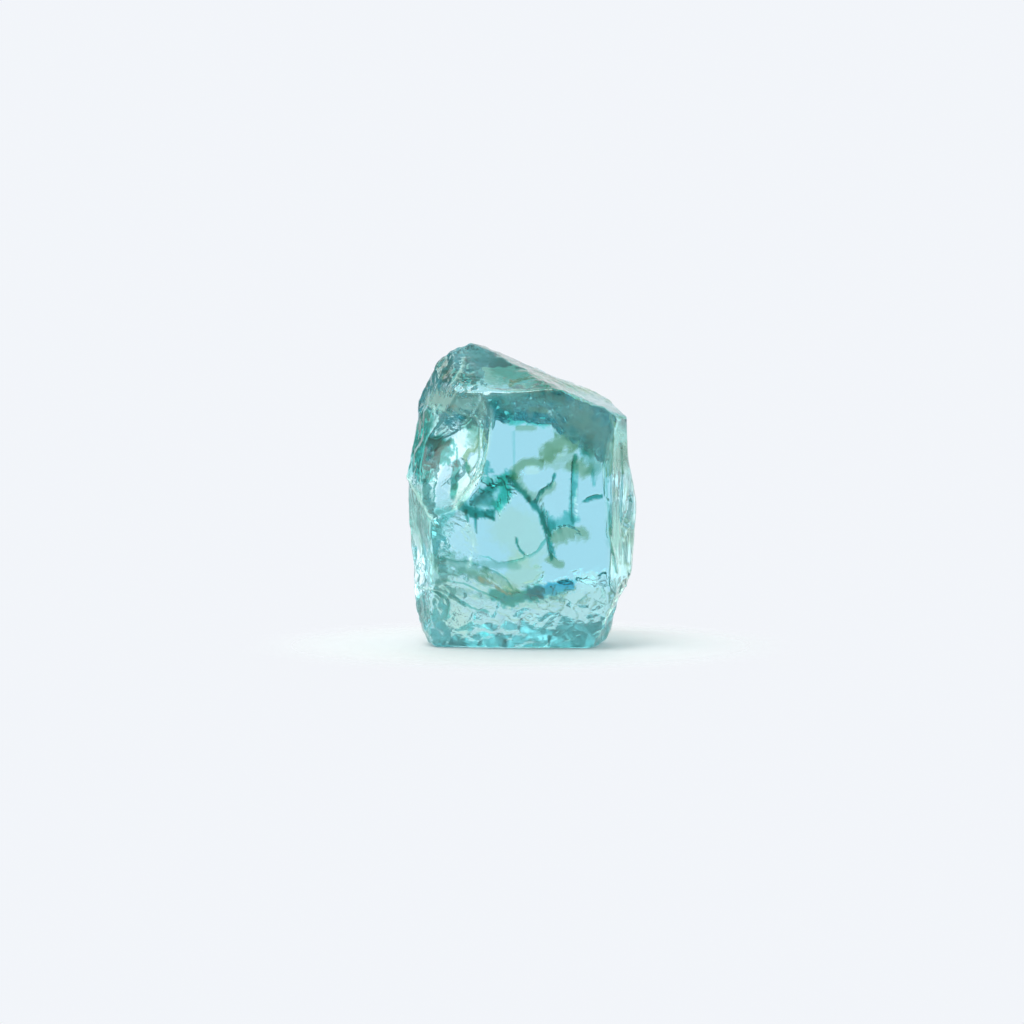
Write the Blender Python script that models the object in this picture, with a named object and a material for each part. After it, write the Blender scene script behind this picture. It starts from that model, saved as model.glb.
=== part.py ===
"""Raw apatite: one broken prism of clear sea-blue crystal, standing on its flat lower break.

The stone starts as a block. Named flat faces trim it, curved flake scars dish it, low ledges
step its back face, fine grooves run down its prism faces, and small chips nibble its edges.
X points right, Y points away from the large clear window, and Z points up.
"""

import math
import random

import bmesh
import bpy
from mathutils import Matrix, Vector

MM = 0.001

# Driving dimensions, in millimetres.
WIDTH = 11.3
DEPTH = 8.6
HEIGHT = 14.7
FRONT = -DEPTH / 2
BACK = DEPTH / 2
RIGHT = WIDTH / 2
LEFT = -WIDTH / 2

BALL_SEGMENTS = 56
BALL_RINGS = 28
GROOVE_SIDES = 8
CHIP_SEED = 5

# Each flat face: the bearing it looks along (0 to the front, 90 to the right), how far it
# tilts up, both in degrees, and a point on it in millimetres.
FACES = {
    "window": (1, 3.5, (0.0, FRONT, 7.8)),
    "right_front": (58, 1, (RIGHT - 1.4, FRONT, 7.5)),
    "right_side": (100, 8.5, (RIGHT - 0.14, -1.9, 7.3)),
    "right_foot": (98, -6, (RIGHT - 0.16, -1.9, 6.2)),
    "back": (180, -3.5, (0.0, BACK, 7.0)),
    "left_side": (-75, -4.4, (LEFT + 1.46, FRONT, 5.0)),
    "left_back": (-122, -2, (LEFT + 0.27, 0.25, 8.1)),
    "left_shoulder": (-68, 12, (LEFT - 0.04, 0.18, 8.14)),
    "left_crown": (-74, 14, (LEFT + 0.67, 1.0, 11.8)),
    "dome": (-60, 33.5, (LEFT + 0.75, 0.26, 13.4)),
    "dome_top": (-48, 60, (-3.4, 0.3, HEIGHT + 0.13)),
    "crown": (-40, 70, (-3.1, 0.35, HEIGHT + 0.25)),
    "top_front": (-10, 57, (-1.0, FRONT, 12.5)),
    "top_right": (80, 66, (1.95, FRONT + 0.25, 12.5)),
    "right_top": (88, 36, (RIGHT - 0.63, -1.5, 11.4)),
    "top_back": (176, 48, (0.0, BACK, 10.75)),
    "top_back_right": (144, 40, (2.4, BACK, 9.8)),
    "top_back_left": (-150, 43, (-3.0, BACK, 10.0)),
    "bottom_front": (2, -38, (1.5, FRONT - 0.25, 3.1)),
    "low_front": (-15, -32, (-2.3, FRONT, 3.6)),
    "bottom_left": (-86, -23, (LEFT + 0.65, 0.0, 1.5)),
    "bottom_right": (80, -28, (RIGHT - 0.42, 0.0, 2.6)),
    "bottom_back": (170, -42, (1.5, BACK, 3.1)),
    "foot_left": (-40, -22, (-3.3, FRONT - 0.1, 2.4)),
    "base": (0, -90, (0.0, 0.0, 0.0)),
}

# Each flake scar: the face it is struck from, the middle of its rim, the rim's radius and the
# depth of the dish, in millimetres.
FLAKES = {
    "left_flake": ("window", (-6.28, FRONT, 10.43), 4.79, 3.0),
    "low_left_flake": ("window", (-4.7, FRONT, 5.0), 2.6, 0.7),
    "corner_flake": ("window", (4.9, FRONT, 12.4), 2.6, 0.4),
    "crown_flake": ("top_front", (0.6, -1.9, 14.0), 3.4, 0.6),
    "dome_flake": ("dome", (-4.0, -1.4, 13.4), 1.25, 0.28),
    "round_scar": ("back", (-0.78, BACK, 5.67), 2.09, 0.22),
    "right_notch": ("right_side", (RIGHT, -1.4, 9.6), 1.9, 0.3),
    "right_foot_flake": ("bottom_right", (4.6, -0.5, 1.5), 1.6, 0.4),
    "left_back_flake": ("left_back", (-5.0, 2.6, 5.0), 2.2, 0.5),
    "left_side_flake": ("left_side", (-5.0, -1.8, 4.4), 1.6, 0.22),
}

# A face that roofs a flake: its bearing, its tilt, and a point on it in millimetres.
BROWS = {"left_flake": (-4, -43, (-2.0, FRONT + 0.27, 12.35))}

# Each ledge on the back face: its depth, and its outline as X and Z, in millimetres.
LEDGES = {
    "heart_ledge": (0.28, [
        (-0.69, 7.98), (-0.33, 7.46), (0.11, 7.1), (0.6, 6.65), (0.92, 6.13), (1.16, 5.64),
        (1.28, 5.24), (2.0, 5.55), (2.6, 5.6), (2.64, 8.87), (2.3, 9.5), (1.73, 9.5), (0.88, 8.9),
        (0.6, 8.54), (0.19, 8.57), (-0.21, 8.39), (-0.41, 8.07),
    ]),
    "notch_ledge": (0.34, [
        (-2.8, 6.21), (-2.47, 7.1), (-2.07, 7.66), (-1.5, 7.82), (-1.1, 7.9), (-0.69, 8.02),
        (-0.36, 7.7), (-0.25, 6.89), (-0.78, 6.45), (-1.1, 5.96), (-1.34, 5.8), (-1.83, 5.96),
        (-2.15, 5.96), (-2.55, 5.72),
    ]),
    "low_valley": (0.45, [
        (-4.6, 4.25), (-3.4, 4.1), (-2.2, 3.75), (-1.1, 3.0), (-0.3, 2.5), (-0.6, 2.15),
        (-2.2, 2.85), (-3.4, 3.25), (-4.6, 3.4),
    ]),
    "low_step": (0.2, [
        (1.28, 5.3), (1.81, 5.56), (2.62, 5.5), (2.98, 5.2), (2.98, 4.75), (2.0, 4.85), (1.4, 4.83),
    ]),
    "long_bar": (0.15, [
        (2.53, 8.8), (2.5, 7.6), (2.54, 5.62), (2.7, 5.62), (2.68, 7.6), (2.73, 8.8),
    ]),
    "right_bar": (0.12, [(3.06, 6.64), (3.95, 6.94), (3.93, 7.06), (3.45, 6.92), (3.04, 6.74)]),
}

# Each run of grooves: the face it is on, X and Y of its first and last groove, the number of
# grooves, and their lowest and highest points, in millimetres. Each is shorter than the last.
GROOVES = {
    "right_front": ((4.75, -3.6), (5.5, -2.35), 4, (2.0, 11.5)),
    "right_side": ((5.6, -1.4), (5.0, 1.9), 5, (2.0, 11.0)),
}
GROOVE_RADIUS = 0.3
GROOVE_DEPTH = 0.09
GROOVE_STAGGER = 0.7

# Edges between two faces that carry chips, with the number of chips and their middle size.
CHIPPED_EDGES = {
    ("window", "bottom_front"): (5, 0.34),
    ("window", "low_front"): (6, 0.3),
    ("low_front", "foot_left"): (5, 0.36),
    ("low_front", "bottom_front"): (3, 0.3),
    ("foot_left", "left_side"): (4, 0.36),
    ("foot_left", "base"): (4, 0.32),
    ("bottom_front", "base"): (5, 0.34),
    ("low_front", "base"): (3, 0.3),
    ("bottom_right", "right_foot"): (4, 0.34),
    ("back", "bottom_back"): (6, 0.36),
    ("back", "top_back"): (4, 0.3),
    ("left_shoulder", "left_crown"): (2, 0.3),
    ("window", "top_front"): (3, 0.22),
    ("right_front", "window"): (4, 0.18),
}

# Broken faces that carry shallow scallops, with the number of scallops and their middle size.
SCALLOPED_FACES = {
    "bottom_front": (7, 1.1),
    "low_front": (6, 0.9),
    "foot_left": (4, 0.9),
    "bottom_left": (4, 0.9),
    "bottom_right": (4, 1.1),
    "bottom_back": (8, 1.2),
    "top_front": (4, 1.3),
    "top_back": (6, 1.4),
    "top_back_left": (3, 1.2),
    "top_right": (4, 1.2),
    "left_shoulder": (3, 1.2),
    "left_back": (5, 1.3),
}


def facing(bearing, tilt):
    """The unit direction with this bearing and upward tilt, in degrees."""
    around = math.radians(bearing)
    up = math.radians(tilt)
    return Vector((math.sin(around) * math.cos(up), -math.cos(around) * math.cos(up), math.sin(up)))


def outward(face):
    bearing, tilt, _ = FACES[face]
    return facing(bearing, tilt)


def place_on(face):
    return Vector(FACES[face][2]) * MM


def collection(name, parent):
    made = bpy.data.collections.new(name)
    parent.children.link(made)
    return made


def object_from(block, name, home):
    """An object for this bmesh, in the collection `home`."""
    mesh = bpy.data.meshes.new(name)
    block.to_mesh(mesh)
    block.free()
    made = bpy.data.objects.new(name, mesh)
    home.objects.link(made)
    return made


def as_cutter(piece):
    piece.hide_render = True
    piece.display_type = "WIRE"
    return piece


def trim(block, place, normal):
    """Slice the block along a plane, drop what lies on its normal's side and close the opening."""
    everything = block.verts[:] + block.edges[:] + block.faces[:]
    cut = bmesh.ops.bisect_plane(
        block,
        geom=everything,
        dist=1e-9,
        plane_co=place,
        plane_no=normal,
        clear_outer=True,
    )
    rim = [piece for piece in cut["geom_cut"] if isinstance(piece, bmesh.types.BMEdge)]
    bmesh.ops.edgeloop_fill(block, edges=rim)


def make_stone(home):
    """The block, trimmed by every flat face in turn."""
    block = bmesh.new()
    bmesh.ops.create_cube(block, size=4 * HEIGHT * MM)
    for face in FACES:
        trim(block, place_on(face), outward(face))
    bmesh.ops.recalc_face_normals(block, faces=block.faces[:])
    return object_from(block, "apatite_crystal", home)


def add_flake(name, home):
    """A ball that leaves a dish of the flake's rim radius and depth in its face, cut off where a
    brow roofs it."""
    face, middle, rim, depth = FLAKES[name]
    normal = outward(face)
    radius = (rim**2 + depth**2) / (2 * depth)
    middle = Vector(middle) * MM
    on_face = middle - normal * (middle - place_on(face)).dot(normal)
    block = bmesh.new()
    bmesh.ops.create_uvsphere(
        block,
        u_segments=BALL_SEGMENTS,
        v_segments=BALL_RINGS,
        radius=radius * MM,
        matrix=Matrix.Translation(on_face + normal * (radius - depth) * MM),
    )
    if name in BROWS:
        bearing, tilt, place = BROWS[name]
        trim(block, Vector(place) * MM, -facing(bearing, tilt))
    return as_cutter(object_from(block, name, home))


def add_ledge(name, home):
    """A flat outline, extruded through the back face to the ledge's depth."""
    depth, outline = LEDGES[name]
    reach = 2.0
    flat = bpy.data.curves.new(name, "CURVE")
    flat.dimensions = "2D"
    flat.fill_mode = "BOTH"
    flat.extrude = reach * MM
    edge = flat.splines.new("POLY")
    edge.points.add(len(outline) - 1)
    for point, (x, z) in zip(edge.points, outline):
        point.co = (x * MM, z * MM, 0.0, 1.0)
    edge.use_cyclic_u = True
    guide = bpy.data.objects.new(name + "_outline", flat)
    home.objects.link(guide)
    bpy.context.view_layer.update()
    drawn = guide.evaluated_get(bpy.context.evaluated_depsgraph_get())
    block = bmesh.new()
    block.from_mesh(bpy.data.meshes.new_from_object(drawn))
    bpy.data.objects.remove(guide)
    bmesh.ops.remove_doubles(block, verts=block.verts[:], dist=1e-6)
    upright = Matrix.Rotation(math.radians(90), 4, "X")
    lean = Matrix.Rotation(math.radians(FACES["back"][1]), 4, "X")
    middle_height = FACES["back"][2][2] * MM
    seat = Vector((0.0, (BACK + reach - depth) * MM, middle_height))
    bmesh.ops.transform(block, matrix=Matrix.Translation((0, 0, -middle_height)) @ upright,
                        verts=block.verts[:])
    bmesh.ops.transform(block, matrix=Matrix.Translation(seat) @ lean, verts=block.verts[:])
    bmesh.ops.recalc_face_normals(block, faces=block.faces[:])
    return as_cutter(object_from(block, name, home))


def add_grooves(face, home):
    """A row of slim upright rods that graze the face and leave shallow grooves."""
    first, last, count, (low, high) = GROOVES[face]
    normal = outward(face)
    for index in range(count):
        share = index / (count - 1)
        x = first[0] + (last[0] - first[0]) * share
        y = first[1] + (last[1] - first[1]) * share
        middle = Vector((x, y, (low + high) / 2)) * MM
        on_face = middle - normal * (middle - place_on(face)).dot(normal)
        block = bmesh.new()
        bmesh.ops.create_cone(
            block,
            cap_ends=True,
            segments=GROOVE_SIDES,
            radius1=GROOVE_RADIUS * MM,
            radius2=GROOVE_RADIUS * MM,
            depth=(high - low - GROOVE_STAGGER * index) * MM,
        )
        along = normal.cross(Vector((0, 0, 1))).cross(normal)
        turn = Vector((0, 0, 1)).rotation_difference(along).to_matrix().to_4x4()
        seat = on_face + normal * (GROOVE_RADIUS - GROOVE_DEPTH) * MM
        bmesh.ops.transform(block, matrix=Matrix.Translation(seat) @ turn, verts=block.verts[:])
        as_cutter(object_from(block, f"{face}_groove_{index + 1}", home))


def edge_between(stone, one, other):
    """The two ends of the edge that the two faces share, or None."""
    planes = [(place_on(face), outward(face)) for face in (one, other)]
    mesh = stone.data
    near = 1e-6
    ends = [
        vertex.co.copy()
        for vertex in mesh.vertices
        if all(abs((vertex.co - point).dot(normal)) < near for point, normal in planes)
    ]
    return ends if len(ends) == 2 else None


def add_chips(stone, one, other, draw, home):
    """Small faceted balls that bite out of the edge between two faces."""
    count, size = CHIPPED_EDGES[one, other]
    ends = edge_between(stone, one, other)
    if not ends:
        return
    away = (outward(one) + outward(other)).normalized()
    for index in range(count):
        along = (index + draw.uniform(0.2, 0.8)) / count
        radius = size * draw.uniform(0.8, 1.7) * MM
        bite = radius * draw.uniform(0.25, 0.5)
        seat = ends[0].lerp(ends[1], along) + away * (radius - bite)
        turn = Matrix.Rotation(draw.uniform(0, 6.28), 4, away)
        block = bmesh.new()
        bmesh.ops.create_icosphere(block, subdivisions=1, radius=radius)
        stretch = Matrix.Diagonal((draw.uniform(0.8, 1.5), 1.0, draw.uniform(0.7, 1.2), 1.0))
        bmesh.ops.transform(
            block, matrix=Matrix.Translation(seat) @ turn @ stretch, verts=block.verts[:]
        )
        as_cutter(object_from(block, f"{one}_{other}_chip_{index + 1}", home))


def add_scallops(stone, face, draw, home):
    """Wide shallow dishes at drawn places on a broken face."""
    count, size = SCALLOPED_FACES[face]
    normal = outward(face)
    panel = max(stone.data.polygons, key=lambda polygon: polygon.normal.dot(normal))
    corners = [stone.data.vertices[index].co for index in panel.vertices]
    for index in range(count):
        side = draw.randrange(len(corners))
        rim = corners[side - 1].lerp(corners[side], draw.random())
        seat = panel.center.lerp(rim, math.sqrt(draw.uniform(0.02, 0.85)))
        radius = size * draw.uniform(0.8, 1.6) * MM
        bite = radius * draw.uniform(0.08, 0.16)
        block = bmesh.new()
        bmesh.ops.create_icosphere(block, subdivisions=3, radius=radius)
        middle = Matrix.Translation(seat + normal * (radius - bite))
        bmesh.ops.transform(block, matrix=middle, verts=block.verts[:])
        as_cutter(object_from(block, f"{face}_scallop_{index + 1}", home))


def cut_with(stone, cutters):
    cut = stone.modifiers.new("cut by " + cutters.name, "BOOLEAN")
    cut.operation = "DIFFERENCE"
    cut.solver = "EXACT"
    cut.operand_type = "COLLECTION"
    cut.collection = cutters


def centre_on_footprint(stone):
    """Parent everything to an empty that puts the middle of the stone's box over the origin."""
    corners = [Vector(corner) for corner in stone.bound_box]
    middle = sum(corners, Vector()) / len(corners)
    centre = bpy.data.objects.new("footprint_centre", None)
    bpy.context.scene.collection.objects.link(centre)
    centre.location = (-middle.x, -middle.y, 0.0)
    for piece in bpy.data.objects:
        if piece is not centre:
            piece.parent = centre


def apatite_material():
    """Clear sea-blue apatite: glassy, slightly rough where it broke."""
    made = bpy.data.materials.new("clear sea-blue apatite")
    made.use_nodes = True
    shader = made.node_tree.nodes["Principled BSDF"]
    shader.inputs["Base Color"].default_value = (0.36, 0.70, 0.83, 1.0)
    shader.inputs["Roughness"].default_value = 0.06
    shader.inputs["Metallic"].default_value = 0.0
    shader.inputs["IOR"].default_value = 1.635
    shader.inputs["Transmission Weight"].default_value = 1.0
    made.diffuse_color = (0.36, 0.70, 0.83, 1.0)
    return made


def main():
    for leftover in list(bpy.data.objects):
        bpy.data.objects.remove(leftover)
    top = bpy.context.scene.collection
    home = collection("raw apatite", top)
    workshop = collection("cutters", top)
    stone = make_stone(home)
    stone.data.materials.append(apatite_material())

    flakes = collection("flake scars", workshop)
    for name in FLAKES:
        add_flake(name, flakes)
    ledges = collection("ledges", workshop)
    for name in LEDGES:
        add_ledge(name, ledges)
    grooves = collection("grooves", workshop)
    for face in GROOVES:
        add_grooves(face, grooves)
    chips = collection("chips", workshop)
    draw = random.Random(CHIP_SEED)
    for one, other in CHIPPED_EDGES:
        add_chips(stone, one, other, draw, chips)
    scallops = collection("scallops", workshop)
    for face in SCALLOPED_FACES:
        add_scallops(stone, face, draw, scallops)
    for cutters in (flakes, ledges, grooves, chips, scallops):
        cut_with(stone, cutters)
    centre_on_footprint(stone)


main()
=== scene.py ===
"""Raw apatite: one broken prism of clear sea-blue crystal, with its ripples, steps and inner cracks.

The stone is one closed surface. Every point of a grid on a box round its middle is pushed out to
the flat faces and flake scars, and then sunk by relief worked out from real distances. The inner
cracks are steps and grooves in the back face, and soft veils of frost and painted shade lie over
them and over the outer faces. Its grain, streaks and growth lines end in a fine bump; its crests
are white, partly with bruises and partly as a painted highlight, and so is the window's bevel.
X points right, Y away from the large clear window, Z up. Lengths are in millimetres until a mesh
is made.
"""

import math

import bmesh
import bpy
import numpy as np
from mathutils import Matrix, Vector


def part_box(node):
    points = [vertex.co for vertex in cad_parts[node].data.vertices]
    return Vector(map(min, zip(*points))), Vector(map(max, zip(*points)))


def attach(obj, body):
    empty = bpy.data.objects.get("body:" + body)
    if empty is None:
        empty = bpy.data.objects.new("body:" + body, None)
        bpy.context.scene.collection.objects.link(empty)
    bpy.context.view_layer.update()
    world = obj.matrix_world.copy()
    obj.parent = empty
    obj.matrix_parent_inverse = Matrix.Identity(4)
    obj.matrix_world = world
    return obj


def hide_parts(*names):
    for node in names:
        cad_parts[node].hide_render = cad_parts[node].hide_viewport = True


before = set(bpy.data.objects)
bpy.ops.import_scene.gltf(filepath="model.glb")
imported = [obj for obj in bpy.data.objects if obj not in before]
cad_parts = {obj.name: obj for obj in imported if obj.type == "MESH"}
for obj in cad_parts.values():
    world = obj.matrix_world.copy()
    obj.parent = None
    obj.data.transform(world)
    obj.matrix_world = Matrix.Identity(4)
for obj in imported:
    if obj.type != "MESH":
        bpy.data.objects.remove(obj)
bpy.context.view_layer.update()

MM = 0.001
NODE = "apatite_crystal"

# Driving dimensions of the stone.
WIDTH = 11.3
DEPTH = 8.6
HEIGHT = 14.7
FRONT = -DEPTH / 2
BACK = DEPTH / 2
RIGHT = WIDTH / 2
LEFT = -WIDTH / 2

# The grid: the middle and half sides of its box, its cells, and the point its rays leave from,
# which sees every hollow.
BOX_MIDDLE = np.array([0.0, 0.0, 7.2])
HALF_BOX = np.array([5.6, 4.3, 7.2])
HEART = np.array([0.3, 1.5, 8.8])
CELLS = (146, 72, 180)
# Between which distances from the heart a ray leaves the stone, how often that stretch is halved,
# over what step its squareness to the surface is measured, and the least squareness that is used.
NEAREST = 1.0
FARTHEST = 14.0
HALVINGS = 22
RAY_STEP = 0.02
LEAST_SQUARENESS = 0.35
# How close two points of the grid's seams are merged into one.
SEAM_GAP = 0.0001

# How far the stone's edges and its flakes' rims are rounded, how far the nicks reach from an edge,
# and how far one surface's carving fades into the next one's.
FACE_ROUND = 0.14
FLAKE_ROUND = 0.1
EDGE_REACH = 0.3
BORDER = 0.12

# Where along Y the marks of the front end and those of the back start, and how far each fades out.
FRONT_MARKS_END = 0.6
BACK_MARKS_START = 1.0
SIDE_FADE = 0.4
# How much higher a mark looks for each millimetre that it lies further back.
SEEN_RISE = 0.07

# Each flat face: the bearing it looks along (0 to the front, 90 to the right), how far it
# tilts up, both in degrees, a point on it, and how its surface formed.
FACES = {
    "window": (1, 3.5, (0.0, FRONT, 7.8), "prism"),
    "right_front": (58, 1, (RIGHT - 1.4, FRONT, 7.5), "striated"),
    "right_side": (100, 8.5, (RIGHT - 0.14, -1.9, 7.3), "striated"),
    "right_foot": (98, -6, (RIGHT - 0.16, -1.9, 6.2), "striated"),
    "back": (180, -3.5, (0.0, BACK, 7.0), "prism"),
    "left_side": (-75, -4.4, (LEFT + 1.46, FRONT, 5.0), "glassy"),
    "left_back": (-122, -2, (LEFT + 0.27, 0.25, 8.1), "glassy"),
    "left_shoulder": (-68, 12, (LEFT - 0.04, 0.18, 8.14), "glassy"),
    "left_crown": (-74, 14, (LEFT + 0.67, 1.0, 11.8), "glassy"),
    "dome": (-60, 33.5, (LEFT + 0.75, 0.26, 13.4), "glassy"),
    "dome_top": (-48, 60, (-3.4, 0.3, HEIGHT + 0.13), "glassy"),
    "crown": (-40, 70, (-3.1, 0.35, HEIGHT + 0.25), "fracture"),
    "ridge_bevel": (-5, 32, (-1.0, FRONT + 0.371, 12.645), "prism"),
    "top_front": (-10, 57, (-1.0, FRONT, 12.5), "fracture"),
    "top_right": (80, 66, (1.95, FRONT + 0.25, 12.5), "fracture"),
    "right_top": (88, 36, (RIGHT - 0.63, -1.5, 11.4), "fracture"),
    "top_back": (176, 48, (0.0, BACK, 10.75), "fracture"),
    "top_back_right": (144, 40, (2.4, BACK, 9.8), "fracture"),
    "top_back_left": (-150, 43, (-3.0, BACK, 10.0), "fracture"),
    "bottom_front": (2, -38, (1.5, FRONT - 0.25, 3.1), "rough"),
    "low_front": (-15, -32, (-2.3, FRONT, 3.6), "rough"),
    "bottom_left": (-86, -23, (LEFT + 0.65, 0.0, 1.5), "rough"),
    "bottom_right": (80, -28, (RIGHT - 0.42, 0.0, 2.6), "rough"),
    "bottom_back": (170, -42, (1.5, BACK, 3.1), "fracture"),
    "foot_left": (-40, -22, (-3.3, FRONT - 0.1, 2.4), "rough"),
    "base": (0, -90, (0.0, 0.0, 0.0), "flat"),
}

# How each kind of surface is carved, as depths: broad swells, smaller lumps, fine grain, shell-like
# rings, broken plates and upright growth lines.
CARVING = {
    "prism": {"broad": 0.010, "lines": 0.003},
    "striated": {"broad": 0.03, "middle": 0.003, "lines": 0.007},
    "glassy": {"broad": 0.08, "middle": 0.005, "rings": 0.005},
    "fracture": {"broad": 0.12, "middle": 0.022, "fine": 0.005, "rings": 0.011},
    "rough": {"broad": 0.12, "middle": 0.03, "fine": 0.014, "plates": 0.3},
    "flat": {},
}
# Each kind of lumps, of the carving and of what lies over it: the width of the widest ones, a shift
# that keeps them apart from the others, and how many sizes there are, each half the one before.
LUMPS = {
    "broad": (3.0, 0, 2),
    "middle": (0.9, 3.1, 3),
    "fine": (0.33, 9.2, 2),
    "nicks": (0.8, 31, 3),
    "ledges": (0.6, 0, 2),
    "veils": (0.3, 40, 4),
    "stains": (0.18, 60, 3),
}
# Where the two blows that broke the stone came from, and how far apart their rings are.
BLOWS = (((-6.0, 0.0, 14.0), 0.55), ((3.0, -3.0, 16.0), 0.42))
# The growth lines, wide and narrow: their width round the prism, their length up it, their strength.
GROWTH = ((0.55, 9.0, 1.0), (0.24, 6.0, 0.6))
# The nicks along the edges: their depth, how far it varies, how much every edge is nicked, and how
# much more a glassy one is. Broken faces are nicked in full.
NICK_DEPTH = 0.03
NICK_SPREAD = 0.12
NICKED = 0.15
GLASSY_NICKED = 0.3

# How each kind of surface is finished, as shares: how dull, grey and white it is, and how clearly
# its finest grain shows.
FINISH = {
    "fracture": {"dull": 0.1, "white": 0.06, "grain": 0.5},
    "rough": {"dull": 0.25, "grey": 0.5, "white": 0.25, "grain": 1.0},
    "striated": {"dull": 0.2, "grey": 0.12, "white": 0.12},
    "glassy": {"dull": 0.06, "white": 0.05, "grain": 0.15},
}

# Each flake scar: the face it is struck from, the middle of its rim, the rim's radius and the
# depth of the dish.
FLAKES = {
    "left_flake": ("window", (-6.28, FRONT, 10.43), 4.79, 3.0),
    "low_left_flake": ("window", (-4.7, FRONT, 5.0), 2.6, 0.7),
    "corner_flake": ("window", (4.9, FRONT, 12.4), 2.6, 0.4),
    "crown_flake": ("top_front", (0.6, -1.9, 14.0), 3.4, 0.6),
    "dome_flake": ("dome", (-4.0, -1.4, 13.4), 1.25, 0.28),
    "round_scar": ("back", (-0.78, BACK, 5.67), 2.09, 0.22),
    "right_notch": ("right_side", (RIGHT, -1.4, 9.6), 1.9, 0.3),
    "right_foot_flake": ("bottom_right", (4.6, -0.5, 1.5), 1.6, 0.4),
    "left_back_flake": ("left_back", (-5.0, 2.6, 5.0), 2.2, 0.5),
    "left_side_flake": ("left_side", (-5.0, -1.8, 4.4), 1.6, 0.22),
}
# A face that roofs a flake: its bearing, its tilt, and a point on it.
BROWS = {"left_flake": (-4, -43, (-2.0, FRONT + 0.27, 12.35))}
# The flakes whose dish is as clear as a prism face.
CLEAR_FLAKES = ("round_scar", "right_notch")

# Each step down into the back face: its depth, the width of its wall at its foot and at its top,
# how ragged its edge is, the depth of the combed ridges in it, and its outline as X, Z.
LEDGES = {
    "heart_ledge": (0.28, (0.2, 0.9), 0.05, 0.0, [
        (-0.69, 7.98), (-0.33, 7.46), (0.11, 7.1), (0.6, 6.65), (0.92, 6.13), (1.16, 5.64),
        (1.28, 5.24), (2.0, 5.55), (2.6, 5.6), (2.64, 8.87), (2.3, 9.5), (1.73, 9.5), (0.88, 8.9),
        (0.6, 8.54), (0.19, 8.57), (-0.21, 8.39), (-0.41, 8.07),
    ]),
    "notch": (0.34, (0.6, 0.6), 0.12, 0.12, [
        (-2.8, 6.21), (-2.47, 7.1), (-2.07, 7.66), (-1.5, 7.82), (-1.1, 7.9), (-0.69, 8.02),
        (-0.36, 7.7), (-0.25, 6.89), (-0.78, 6.45), (-1.1, 5.96), (-1.34, 5.8), (-1.83, 5.96),
        (-2.15, 5.96), (-2.55, 5.72),
    ]),
    "low_valley": (0.24, (0.8, 0.8), 0.03, 0.02, [
        (-3.9, 4.2), (-3.4, 4.1), (-2.2, 3.75), (-1.1, 3.0), (-0.3, 2.5), (-0.6, 2.15),
        (-2.2, 2.85), (-3.4, 3.25), (-3.9, 3.35),
    ]),
    "low_step": (0.2, (0.35, 0.35), 0.10, 0.08, [
        (1.28, 5.3), (1.81, 5.56), (2.62, 5.5), (2.98, 5.2), (2.98, 4.75), (2.0, 4.85), (1.4, 4.83),
    ]),
}
# How wide the teeth of a ledge's edge are, how many times its raggedness they reach, how wide the
# ridges in it are, and how soon they rise.
LEDGE_TOOTH = 0.09
TOOTH_REACH = 1.5
RIDGE_WIDTH = 0.16
RIDGE_RISE = 0.1

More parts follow.
